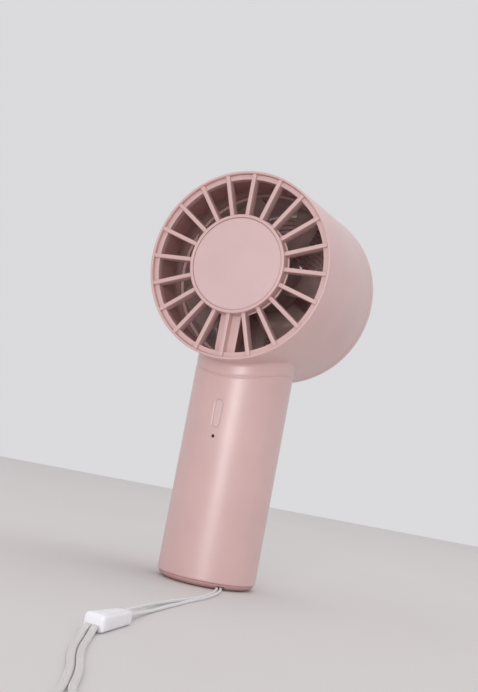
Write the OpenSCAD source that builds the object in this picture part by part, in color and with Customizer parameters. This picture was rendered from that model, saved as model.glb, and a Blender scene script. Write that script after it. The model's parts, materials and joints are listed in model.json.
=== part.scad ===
// Handheld fan: a round drum with a grille and a fan wheel on a round battery handle.
// Millimetres. Z runs up the handle from the base, and the air leaves towards -Y.

/* [Drum] */
// Height of the drum's axis above the base
axis_h = 125.4; // [120:0.1:130]
// Outer radius of the drum at its front lip
drum_front_r = 37.8; // [37.6:0.1:39]
// Outer radius of the drum at its rear edge
drum_rear_r = 39.4; // [39:0.1:41]
// Distance from the handle's axis to the front lip
drum_front = 28; // [27.5:0.1:29]
// Distance from the handle's axis to the rear edge
drum_rear = 31.5; // [31:0.1:33]
// Radius of the curved joint between the collar and the handle, about the drum's axis
saddle_r = 43.2; // [42.5:0.1:44]
// Width of the gap at that joint
joint_gap = 0.05; // [0.05:0.05:0.5]

/* [Front grille] */
// Number of radial bars
bar_count = 20; // [12:1:24]
// Width of a bar
bar_w = 1.8; // [1.2:0.1:2.4]
// Depth of a bar from front to back
bar_depth = 4.4; // [3:0.1:4.6]
// Radius of the open area
opening_r = 34.7; // [33.8:0.1:34.8]
// Outer radius of the hub
hub_r = 19.8; // [18:0.1:21]
// How far the hub stands in front of the lip
hub_proud = 1.3; // [0.5:0.1:2]

/* [Fan wheel] */
// Number of blades
blade_count = 7; // [3:1:11]
// Tip radius of the blades
blade_r = 33.7; // [30:0.1:33.8]
// Pitch of the blades
blade_pitch = 40; // [30:1:45]
// Radius of the motor shaft
shaft_r = 1; // [0.8:0.05:1.2]

/* [Handle] */
// Outer radius of the handle
handle_r = 20; // [19.5:0.1:20.5]
// Wall of the handle
handle_wall = 2; // [1.6:0.1:2]
// Height of the handle's lower edge above the base's foot
rim_h = 2.5; // [2.4:0.1:3]
// Radius of the flat foot
foot_r = 15; // [14.8:0.1:16]

/* [Button] */
// Height of the button's middle
button_h = 67; // [62:0.5:69]
// Width of the button
button_w = 2.7; // [2.5:0.1:4.5]
// Length of the button
button_l = 10.7; // [10:0.1:13]
// Gap round the button
button_gap = 0.15; // [0.15:0.05:0.3]
// Height of the indicator hole
led_h = 58; // [56:0.5:60]

/* [Lanyard] */
// Diameter of the thin cord
cord_d = 1.1; // [0.9:0.1:1.2]
// Width of the wrist band
band_w = 2; // [1.6:0.1:2.1]
// Thickness of the wrist band
band_t = 0.9; // [0.6:0.1:0.9]

/* [Hidden] */
$fn = 96;
eps = 0.01;
fit = 0.02;

pink = "#d9b3b1";
pale_pink = "#e0bdbb";
steel = "#b9bcc0";
copper = "#b5713a";
board_green = "#2f6b4f";
white = "#f2f2f2";
black = "#222222";

// Drum and rear cover
bore_front_r = 35.8;
bore_rear_r = 37.3;
lip_r = 36.8;
ledge_y = -23;
cover_y = 27.3;
cover_seam = 0.3;
duct_r = 34.9;
duct_y = -2;
wide_bar_w = 8.6;
collar_floor = 85;
spigot_low = 76.5;
spigot_r = 17.7;
spigot_bore_r = 15.7;
neck_screw_x = 13;
neck_screw_y = 3;

// Motor, along the drum's axis
plate_y = -22.4;
plate_t = 2;
motor_rim_r = 17.8;
tube_r = 4.4;
tube_end = -6;
bearing_r = 3;
bearing_t = 2.5;
stator_r = 11.4;
stator_front = -17.6;
stator_back = -10.6;
slot_count = 9;
tooth_w = 2;
bell_r = 14.6;
bell_front = -17.9;
bell_back = -4.6;
wire_y = -19.2;

// Fan wheel
wheel_hub_r = 16.2;
wheel_front = -16.2;
wheel_back = 3;
blade_mid = -1.4;
blade_chord = 22;
blade_t = 1.2;

// Handle
handle_bore = handle_r - handle_wall;
cell_y = 2;
cell_r = 9.2;
cell_low = 11;
cell_high = 76;
cradle_r = 9.4;
board_y = -12.3;
board_t = 1.2;
board_low = 22;
board_high = 76.1;
board_screw_x = 8.6;
board_screw_z = [30.8, 52.8];
port_z = 20.85;
port_w = 8.94;
port_t = 3.2;
chassis_r = 17.7;

// Base and lanyard
cap_r = 19.5;
cap_rim = 2.4;
anchor_angle = 42;
bar_at = 15.2;
bar_z = 2;
bar_r = 0.6;
base_screw_x = 12.5;
base_screw_y = 4;
bead_l = 22;
bead_cord_w = 4.4;
bead_band_w = 6.6;
bead_slant = 1.8;
bead_h = 5;
bead_at = [28.8, -122.5];

// Route of the left strand, from the base to the bead
left_route = [
  [9.6, -11.8, 0.8], [10.7, -13.5, 0.7], [11.8, -15.8, 0.6], [13.4, -20.4, 0.55], [15.2, -26.6, 0.55],
  [16.6, -34, 0.55], [17.8, -42, 0.55], [18.3, -50, 0.55], [18.1, -58, 0.55], [17.8, -66, 0.55],
  [18, -73.5, 0.6], [18.9, -81, 0.9], [20.5, -90, 1.4], [22.6, -100, 2], [25, -109.5, 2.7],
  [27.1, -118, 3.3], [27.9, -122.5, 3.4], [28, -125.2, 3.4]
];
// Route of the right strand, from the base to the bead
right_route = [
  [10.8, -10.8, 0.8], [12.1, -12.7, 0.7], [13.2, -15.2, 0.6], [14.8, -19.9, 0.55], [16.6, -26.2, 0.55],
  [18, -33.7, 0.55], [19.2, -41.8, 0.55], [19.8, -50, 0.55], [20.2, -58, 0.55], [20.9, -66, 0.55],
  [21.7, -75, 0.55], [22.6, -84, 0.55], [23.5, -92, 0.6], [24.6, -100, 0.9], [26.2, -108.5, 1.4],
  [28.3, -118, 2.1], [29.4, -122.5, 2.3], [29.6, -125.2, 2.3]
];
// Route of the wrist band, out from the bead and back, with the turn of its flat side at each point
band_route = [
  [29.5, -141.6, 1.9, 0], [29.6, -145.8, 1.6, 0], [31.2, -150.6, 0.8, 0], [33.6, -156, 0.5, 0],
  [38.6, -167.2, 0.5, 0], [44.2, -177.6, 0.5, 0], [48.8, -185.4, 0.5, 0], [52.8, -193.2, 0.5, 0],
  [56.3, -200.5, 0.5, 0], [59, -206.9, 0.5, 0], [61.6, -213.3, 0.65, 12], [64.4, -219.6, 0.9, 50],
  [68.4, -226.2, 1.05, 90], [74, -230.4, 1.05, 90], [80.2, -229.4, 1.05, 90], [83, -224, 1.05, 90],
  [81, -218.4, 1.05, 90], [76, -215.2, 1.05, 95], [70.6, -213, 1, 120], [66.2, -210.4, 0.85, 150],
  [63, -207.2, 0.65, 172], [60.6, -203.8, 0.5, 180], [58.3, -199.7, 0.5, 180], [54.8, -192.2, 0.5, 180],
  [50.8, -184.5, 0.5, 180], [46.2, -176.7, 0.5, 180], [40.6, -166.2, 0.5, 180], [35.6, -155, 0.5, 180],
  [33.3, -149.6, 0.8, 180], [31.8, -145.4, 1.6, 180], [31.7, -141.6, 1.9, 180]
];

function drum_r(y) =
  drum_front_r + (drum_rear_r - drum_front_r) * (y + drum_front) / (drum_rear + drum_front);
function unit(v) = v / norm(v);
// One more point midway between each two, on a smooth curve through them all
function at(p, i) = p[min(max(i, 0), len(p) - 1)];
function finer(p) = [
  for (i = [0 : len(p) - 2]) each [p[i], (9 * (p[i] + p[i + 1]) - at(p, i - 1) - at(p, i + 2)) / 16],
  p[len(p) - 1]
];
function spot(q) = [q[0], q[1], q[2]];
function heading(p, i) = unit(spot(at(p, i + 1)) - spot(at(p, i - 1)));
// A ring of points square to the route, w wide across up and t high, turned by a
function ring(c, d, w, t, a, up, sides) =
  let (s = unit(cross(d, up)), u = cross(s, d))
  [for (k = [0 : sides - 1])
    let (b = (k + 0.5) * 360 / sides, x = w / 2 * cos(b), y = t / 2 * sin(b))
    c + s * (x * cos(a) - y * sin(a)) + u * (x * sin(a) + y * cos(a))];
function turn(q) = len(q) > 3 ? q[3] : 0;

// A closed tube along the points p: w wide and t high
module swept(p, w, t, up = [0, 0, 1], sides = 8) {
  rings = [for (i = [0 : len(p) - 1]) ring(spot(p[i]), heading(p, i), w, t, turn(p[i]), up, sides)];
  last = len(p) - 1;
  polyhedron(
    points = [for (r = rings) each r],
    faces = [
      [for (k = [0 : sides - 1]) k],
      [for (k = [sides - 1 : -1 : 0]) last * sides + k],
      for (i = [0 : last - 1]) for (k = [0 : sides - 1])
        let (a = i * sides + k, b = i * sides + (k + 1) % sides)
        each [[a, a + sides, b], [b, a + sides, b + sides]]
    ]
  );
}

// Children drawn with their Z along the drum's axis and their Y pointing down
module on_axis(y = 0) {
  translate([0, y, axis_h]) rotate([-90, 0, 0]) children();
}

// A round solid about the drum's axis, from pairs of radius and Y
module turned(profile) {
  on_axis() rotate_extrude() polygon(profile);
}

// A tube about the drum's axis
module sleeve(inner, outer, from, to) {
  turned([[inner, from], [outer, from], [outer, to], [inner, to]]);
}

// A bar across the drum's radius: section across and along Y, between two radii
module radial(angle, inner, outer, section) {
  on_axis() rotate([0, 0, angle]) translate([inner, 0, 0]) rotate([90, 0, 90])
    linear_extrude(outer - inner) polygon(section);
}

function rectangle(w, from, to) = [[-w / 2, from], [w / 2, from], [w / 2, to], [-w / 2, to]];

// A pill-shaped bar along Y, standing upright
module pill(w, l, from, to) {
  for (s = [-1, 1])
    translate([0, from, s * (l - w) / 2]) rotate([-90, 0, 0]) cylinder(d = w, h = to - from);
  translate([-w / 2, from, -(l - w) / 2]) cube([w, to - from, l - w]);
}

// A rod along Y
module rod_y(r, from, to, x = 0, z = 0) {
  translate([x, from, z]) rotate([-90, 0, 0]) cylinder(r = r, h = to - from);
}

module drum_housing() {
  color(pink) difference() {
    union() {
      turned([
        [0, -drum_front], [drum_front_r - 0.5, -drum_front], [drum_r(0.5 - drum_front), 0.5 - drum_front],
        [drum_r(cover_y - cover_seam), cover_y - cover_seam], [0, cover_y - cover_seam]
      ]);
      intersection() {
        translate([0, 0, spigot_low]) cylinder(r = handle_r, h = axis_h - spigot_low);
        on_axis(-handle_r - 5) cylinder(r = saddle_r, h = 2 * handle_r + 10);
      }
      translate([0, 0, spigot_low]) cylinder(r = spigot_r, h = 30);
    }
    turned([
      [0, -drum_front - 1], [lip_r, -drum_front - 1], [lip_r, ledge_y], [bore_front_r, ledge_y],
      [bore_rear_r, cover_y + 1], [0, cover_y + 1]
    ]);
    translate([0, 0, spigot_low - 1]) cylinder(r = spigot_bore_r, h = collar_floor - spigot_low + 1);
    translate([0, -11, collar_floor - 1]) cylinder(r = 2.6, h = 12);
    translate([-2, -20.8, collar_floor + 3.4]) cube([4, 11, 8]);
    for (s = [-1, 1]) translate([s * neck_screw_x, neck_screw_y, 0]) {
      translate([0, 0, collar_floor - 1]) cylinder(r = 1.1, h = 12);
      translate([0, 0, collar_floor + 3.5]) cylinder(r = 2.1, h = 8);
    }
  }
}

module front_grille() {
  front = 0.2 - drum_front;
  back = front + bar_depth;
  section = [
    [-bar_w / 2, back], [bar_w / 2, back], [bar_w / 2, front + 0.6], [bar_w / 2 - 0.5, front],
    [0.5 - bar_w / 2, front], [-bar_w / 2, front + 0.6]
  ];
  color(pink) union() {
    sleeve(opening_r, lip_r - 0.1, -26.6, ledge_y - 0.1);
    for (i = [0 : bar_count - 1]) radial(90 + i * 360 / bar_count, hub_r - 0.9, lip_r - 0.1, section);
    turned([
      [hub_r - 1.3, -drum_front - hub_proud], [hub_r - 0.4, -drum_front - hub_proud],
      [hub_r, 0.4 - drum_front - hub_proud], [hub_r, -23.8], [hub_r - 1.3, -23.8]
    ]);
    sleeve(hub_r - 0.5, hub_r + 0.5, -24.4, -23.8);
    sleeve(4, hub_r - 1, -27.6, -26.4);
    radial(90, hub_r - 0.9, lip_r - 0.4, rectangle(wide_bar_w, -24.5, back));
    for (a = [30, 150, 270]) on_axis(-26.5) rotate([0, 0, a]) translate([12, 0, 0])
      cylinder(r = 1.6, h = plate_y - fit + 26.5);
  }
}

module grille_cap() {
  front = 0.3 - drum_front - hub_proud;
  color(pale_pink) union() {
    turned([[0, front], [hub_r - 1.8, front], [hub_r - 1.5, front + 0.3], [hub_r - 1.5, -27.7], [0, -27.7]]);
    on_axis(-27.8) cylinder(r = 3.8, h = 1.8);
  }
}

module stator_frame() {
  ring_r = 34.8;
  color(pink) difference() {
    union() {
      sleeve(ring_r, 35.6, -22.8, -12.5);
      on_axis(plate_y) cylinder(r = motor_rim_r, h = plate_t);
      sleeve(motor_rim_r - 1.2, motor_rim_r, plate_y, -16.8);
      on_axis(plate_y) cylinder(r = tube_r, h = tube_end - plate_y);
      radial(90, motor_rim_r - 0.4, ring_r + 0.5, rectangle(5, -21.5, -16));
    }
    on_axis(plate_y - 1) cylinder(r = bearing_r, h = 1 + bearing_t);
    on_axis(plate_y) cylinder(r = 2.4, h = 20);
    on_axis(tube_end - bearing_t) cylinder(r = bearing_r, h = bearing_t + 1);
    translate([0, wire_y, axis_h - 37]) cylinder(r = 1.4, h = 24);
  }
}

module rear_cover() {
  ring_front = 27.2;
  slat_lean = 1.6;
  color(pink) union() {
    turned([
      [duct_r, duct_y], [duct_r + 1.35, duct_y], [36.9, cover_y], [drum_r(cover_y), cover_y],
      [drum_r(drum_rear - 0.8), drum_rear - 0.8], [drum_r(drum_rear) - 0.8, drum_rear],
      [duct_r, drum_rear]
    ]);
    for (r = [13.6 : 2 : 31.6])
      turned([[r + slat_lean, ring_front], [r + slat_lean + 1.4, ring_front], [r + 1.4, 31.2], [r, 31.2]]);
    for (i = [0 : 11]) radial(i * 30, 12.6, duct_r + 0.4, rectangle(1.4, ring_front + 0.1, 31.1));
    sleeve(11.9, 13.2, ring_front, drum_rear);
    sleeve(3, 12.4, 29.3, 30);
  }
}

module rear_cap() {
  color(pale_pink) union() {
    turned([[0, 30.1], [11.8, 30.1], [11.8, 31.1], [11.4, 31.4], [0, 31.4]]);
    on_axis(28.9) cylinder(r = 2.9, h = 1.6);
  }
}

module motor_board() {
  color(board_green) sleeve(tube_r + 0.1, 13.4, -20.3, -19.5);
}

// One stator tooth, grown by g on every side
module tooth(i, inner, outer, g) {
  radial(i * 360 / slot_count, inner, outer, rectangle(tooth_w + 2 * g, stator_front - g, stator_back + g));
}

module stator_core() {
  tip = stator_r - 1.2;
  color(steel) on_axis(stator_front) linear_extrude(stator_back - stator_front) difference() {
    union() {
      circle(r = 6.2);
      for (i = [0 : slot_count - 1]) rotate([0, 0, i * 360 / slot_count]) polygon([
        [5, -tooth_w / 2], [tip, -tooth_w / 2], [tip, -2.7], [stator_r, -2.7],
        [stator_r, 2.7], [tip, 2.7], [tip, tooth_w / 2], [5, tooth_w / 2]
      ]);
    }
    circle(r = tube_r + fit);
  }
}

module stator_coils() {
  color(copper) for (i = [0 : slot_count - 1]) difference() {
    tooth(i, 6.6, 9.6, 1.1);
    tooth(i, 6, 10, 0.03);
  }
}

module bearing(y) {
  color(steel) sleeve(shaft_r + 0.03, bearing_r - fit, y, y + bearing_t);
}

module front_bearing() {
  bearing(plate_y);
}

module rear_bearing() {
  bearing(tube_end - bearing_t);
}

module motor_shaft() {
  color(steel) on_axis(-23.3) cylinder(r = shaft_r, h = 27);
}

module shaft_clip() {
  color(steel) sleeve(shaft_r + fit, 2.2, -23, -22.6);
}

module rotor_bell() {
  color(steel) turned([
    [bell_r - 0.7, bell_front], [bell_r, bell_front], [bell_r, bell_back], [2.6, bell_back],
    [2.6, bell_back + 2.9], [shaft_r + fit, bell_back + 2.9], [shaft_r + fit, bell_back - 0.8],
    [bell_r - 0.7, bell_back - 0.8]
  ]);
}

module rotor_magnets() {
  color(black) sleeve(12.4, bell_r - 0.7 - fit, -17.4, -9.9);
}

module impeller() {
  color(white) union() {
    turned([
      [bell_r + 0.1, wheel_front], [wheel_hub_r, wheel_front], [wheel_hub_r, wheel_back],
      [wheel_hub_r - 1.4, wheel_back], [wheel_hub_r - 1.4, 0.6], [3.4, 0.6], [3.4, 1.2],
      [shaft_r + fit, 1.2], [shaft_r + fit, -1.4], [bell_r + 0.1, -1.4]
    ]);
    intersection() {
      sleeve(wheel_hub_r - 0.7, blade_r, -12, 12);
      for (i = [0 : blade_count - 1])
        on_axis(blade_mid) rotate([0, 0, i * 360 / blade_count]) rotate([blade_pitch, 0, 0])
          translate([10, -blade_t / 2, -blade_chord / 2]) cube([30, blade_t, blade_chord]);
    }
  }
}

module impeller_nut() {
  color(steel) difference() {
    on_axis(1.3) cylinder(r = 2.8, h = 1.8, $fn = 6);
    on_axis(1) cylinder(r = shaft_r + fit, h = 3);
  }
}

module motor_wires() {
  color(black) for (x = [-0.6, 0.6]) swept([
    [x, wire_y, 111.4], [x, wire_y, 106], [x, wire_y, 100], [x, wire_y, 94], [x, wire_y, 91.6],
    [x, wire_y + 0.3, 90.2], [x, -17.8, 89.3], [x, -16, 89.05], [x, -13.8, 89], [x, -12.2, 88.4],
    [x, -11.3, 86.8], [x, -11.1, 84], [x, -11.2, 80.5], [x, -11.8, 78], [x, -12.9, 76.8]
  ], 1, 1, [1, 0, 0]);
}

module handle_shell() {
  color(pink) difference() {
    rotate_extrude() polygon([
      [handle_bore, rim_h], [handle_r - 0.4, rim_h], [handle_r, rim_h + 0.4], [handle_r, 90],
      [handle_bore, 90]
    ]);
    on_axis(-handle_r - 5) cylinder(r = saddle_r + joint_gap, h = 2 * handle_r + 10);
    translate([0, 0, button_h])
      pill(button_w + 2 * button_gap, button_l + 2 * button_gap, -handle_r - 1, 2 - handle_bore);
    rod_y(0.6, -handle_r - 1, 2 - handle_bore, 0, led_h);
    translate([0, 0, port_z]) rotate([0, 90, 0])
      pill(port_t + 0.6, port_w + 0.6, handle_bore - 3, handle_r + 1);
  }
}

module chassis() {
  color(black) difference() {
    union() {
      intersection() {
        translate([0, cell_y, 10]) cylinder(r = cradle_r + 1.4, h = 65.6);
        translate([-20, cell_y, 9]) cube([40, 20, 68]);
      }
      translate([0, 0, 9]) cylinder(r = chassis_r, h = 1.6);
      for (z = [16.6, 30, 52]) translate([0, 0, z]) cylinder(r = chassis_r, h = 1.6);
      translate([0, 0, 74]) cylinder(r = chassis_r, h = 1.6);
      for (s = [-1, 1]) {
        translate([s * base_screw_x, base_screw_y, 4]) cylinder(r = 2.4, h = 5.5);
        translate([s * neck_screw_x, neck_screw_y, 74]) cylinder(r = 2.2, h = collar_floor - 74 - 0.1);
      }
      for (s = [-1, 1]) for (z = board_screw_z) rod_y(2, board_y, -9, s * board_screw_x, z);
    }
    translate([0, cell_y, 10.6]) cylinder(r = cradle_r, h = 80);
    translate([-20, -20, 5]) cube([40, 20 + board_y, 80]);
    translate([-8.4, 11.5, 18.2]) cube([16.8, 10, 7]);
    translate([-3.6, -13, 10.6]) cube([7.2, 4, 80]);
    for (s = [-1, 1]) {
      translate([s * base_screw_x, base_screw_y, 3]) cylinder(r = 0.9, h = 8);
      translate([s * neck_screw_x, neck_screw_y, 77]) cylinder(r = 0.9, h = 10);
      for (z = board_screw_z) rod_y(0.7, board_y - 1, -9.6, s * board_screw_x, z);
    }
  }
}

module battery_cell() {
  color("#5b8fb5") translate([0, cell_y, 0]) union() {
    translate([0, 0, cell_low]) cylinder(r = cell_r, h = cell_high - 0.8 - cell_low);
    translate([0, 0, cell_low]) cylinder(r = 3.2, h = cell_high - cell_low);
  }
}

module battery_tabs() {
  color(steel) {
    translate([-3, board_y + 0.1, 10.65]) cube([6, 16, 0.3]);
    translate([-3, board_y + 0.1, 10.65]) cube([6, 0.3, 12.8]);
    translate([-3, board_y + 0.1, 76.05]) cube([6, 16, 0.3]);
    translate([-3, board_y + 0.1, 72]) cube([6, 0.3, 4.3]);
  }
}

module main_board() {
  color(board_green) difference() {
    translate([-11, board_y - board_t, board_low]) cube([22, board_t - 0.02, board_high - board_low]);
    for (s = [-1, 1]) for (z = board_screw_z) rod_y(0.9, -16, -11, s * board_screw_x, z);
  }
}

module board_parts() {
  face = board_y - board_t - 0.02;
  // Each part as X and Z of its middle, width, height and thickness
  parts = [
    [0, 43, 5, 5, 1], [0, 26, 5, 5, 2.4], [-5.6, 38, 3, 3, 0.9], [5.6, 38, 3, 1.6, 0.9],
    [5.6, 47, 1.6, 3, 0.8], [-5.6, 47, 2, 1.2, 0.7], [0, led_h, 1.6, 1.6, 0.7], [-5, 60, 2, 1.2, 0.6],
    [5, 60, 2, 1.2, 0.6]
  ];
  color(black) for (p = parts)
    translate([p[0] - p[2] / 2, face - p[4], p[1] - p[3] / 2]) cube([p[2], p[4], p[3]]);
}

module power_switch() {
  color(steel) difference() {
    translate([-3, -15.7, button_h - 3]) cube([6, 2.18, 6]);
    rod_y(1.75, -16, -14.1, 0, button_h);
  }
}

module switch_plunger() {
  color(black) rod_y(1.65, -16.6, -14.6, 0, button_h);
}

module power_button() {
  color(pale_pink) translate([0, 0, button_h]) union() {
    intersection() {
      pill(button_w, button_l, -handle_r, -17);
      translate([0, 0, -10]) cylinder(r = handle_r - 0.05, h = 20);
    }
    pill(button_w + 1.6, button_l + 1.6, -17.4, -16.8);
    rod_y(1.4, -17, -16.6);
  }
}

module light_pipe() {
  color(black) union() {
    rod_y(0.55, -19.5, -17.5, 0, led_h);
    rod_y(1.1, -17.8, -14.4, 0, led_h);
  }
}

module charge_port() {
  color(steel) translate([0, 0, port_z]) rotate([0, 90, 0]) difference() {
    pill(port_t, port_w, 12.6, 19.4);
    pill(port_t - 0.5, port_w - 0.5, 13, 20);
  }
}

module port_tongue() {
  color(black) translate([-3.35, 13.02, port_z - 0.35]) cube([6.7, 4.8, 0.7]);
}

module charge_board() {
  color(board_green) translate([-8, 11.7, 18.25]) cube([16, 4.2, 0.95]);
}

module charge_wires() {
  color(black) for (z = [0, 1.4]) swept([
    [6.8, 15, 19.9 + z], [8.6, 14.7, 20 + z], [11, 12.8, 20.3 + z], [13, 9.4, 20.8 + z],
    [13.9, 5, 21.5 + z], [13.8, 0, 22.3 + z], [12.8, -4.6, 23.1 + z], [11, -8.6, 23.8 + z],
    [8.8, -11.4, 24.2 + z], [7.6, -11.75, 24.3 + z]
  ], 1, 1);
}

// A screw pointing up, its head's underside at z = 0
module screw(r, length, head_r, head_h) {
  translate([0, 0, -eps]) cylinder(r = r, h = length + eps);
  difference() {
    translate([0, 0, -head_h]) cylinder(r = head_r, h = head_h);
    for (a = [0, 90]) rotate([0, 0, a]) translate([-head_r * 0.6, -0.25, -head_h - 0.1])
      cube([head_r * 1.2, 0.5, 0.6]);
  }
}

module neck_screws() {
  color(steel) for (s = [-1, 1])
    translate([s * neck_screw_x, neck_screw_y, collar_floor + 3.52]) rotate([180, 0, 0])
      screw(0.88, 10, 1.9, 1.3);
}

module board_screws() {
  color(steel) for (s = [-1, 1]) for (z = board_screw_z)
    translate([s * board_screw_x, board_y - board_t - 0.02, z]) rotate([-90, 0, 0])
      screw(0.68, 3.6, 1.4, 0.8);
}

module base_cap() {
  // The convex underside, as an arc from the flat foot to the rim
  sag = [for (i = [0 : 6]) let (a = i * 15)
    [foot_r + (cap_r - foot_r) * sin(a), cap_rim * (1 - cos(a))]];
  color(pink) difference() {
    union() {
      rotate_extrude() polygon(concat([[0, 0]], sag, [
        [handle_bore - 0.2, cap_rim], [handle_bore - 0.2, 8], [handle_bore - 1.8, 8],
        [handle_bore - 1.8, 3.4], [0, 3.4]
      ]));
      rotate([0, 0, anchor_angle - 90]) translate([11, -5.2, 2]) cube([5.5, 10.4, 4]);
    }
    rotate([0, 0, anchor_angle - 90]) {
      translate([13.2, -2.8, -1]) cube([4, 5.6, 5.4]);
      translate([16, -1.8, -1]) cube([6, 3.6, 2.5]);
      translate([bar_at, 4.9, bar_z]) rotate([90, 0, 0]) cylinder(r = bar_r + fit, h = 9.8);
    }
    for (s = [-1, 1]) translate([s * base_screw_x, base_screw_y, 0]) {
      translate([0, 0, -1]) cylinder(r = 1.1, h = 6);
      translate([0, 0, -1]) cylinder(r = 2.1, h = 2.65);
    }
  }
}

module base_screws() {
  color(steel) for (s = [-1, 1])
    translate([s * base_screw_x, base_screw_y, 1.62]) screw(0.88, 7.5, 1.9, 1.3);
}

// Children drawn with X out from the base's middle through the lanyard's notch
module at_anchor() {
  rotate([0, 0, anchor_angle - 90]) translate([bar_at, 0, bar_z]) children();
}

module lanyard_bar() {
  color(steel) at_anchor() translate([0, 4.8, 0]) rotate([90, 0, 0]) cylinder(r = bar_r, h = 9.6);
}

module lanyard_hitch() {
  color(white) at_anchor() for (y = [-2, 2]) translate([0, y, 0]) rotate([90, 0, 0])
    rotate_extrude() translate([bar_r + cord_d / 2 + 0.05, 0]) circle(d = cord_d, $fn = 24);
}

module lanyard_strand_left() {
  color(white) swept(finer(left_route), cord_d, cord_d);
}

module lanyard_strand_right() {
  color(white) swept(finer(right_route), cord_d, cord_d);
}

module lanyard_bead() {
  color(white) difference() {
    translate([bead_at[0], bead_at[1], 0.02]) linear_extrude(bead_h) polygon([
      [-bead_cord_w / 2, 0], [bead_cord_w / 2, 0],
      [bead_slant + bead_band_w / 2, -bead_l], [bead_slant - bead_band_w / 2, -bead_l]
    ]);
    for (q = [left_route, right_route]) let (e = q[len(q) - 1])
      rod_y(cord_d / 2 + 0.15, e[1] - 0.2, bead_at[1] + 1, e[0], e[2]);
    translate([bead_at[0] + bead_slant - 2.2, bead_at[1] - bead_l - 1, 1.1]) cube([4.6, 4.4, 2.8]);
  }
}

module wrist_band() {
  color(white) swept(band_route, band_w, band_t);
}

drum_housing();
front_grille();
grille_cap();
stator_frame();
rear_cover();
rear_cap();
motor_board();
stator_core();
stator_coils();
front_bearing();
rear_bearing();
motor_shaft();
shaft_clip();
rotor_bell();
rotor_magnets();
impeller();
impeller_nut();
motor_wires();
handle_shell();
chassis();
battery_cell();
battery_tabs();
main_board();
board_parts();
power_switch();
switch_plunger();
power_button();
light_pipe();
charge_port();
port_tongue();
charge_board();
charge_wires();
neck_screws();
board_screws();
base_cap();
base_screws();
lanyard_bar();
lanyard_hitch();
lanyard_strand_left();
lanyard_strand_right();
lanyard_bead();
wrist_band();
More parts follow.
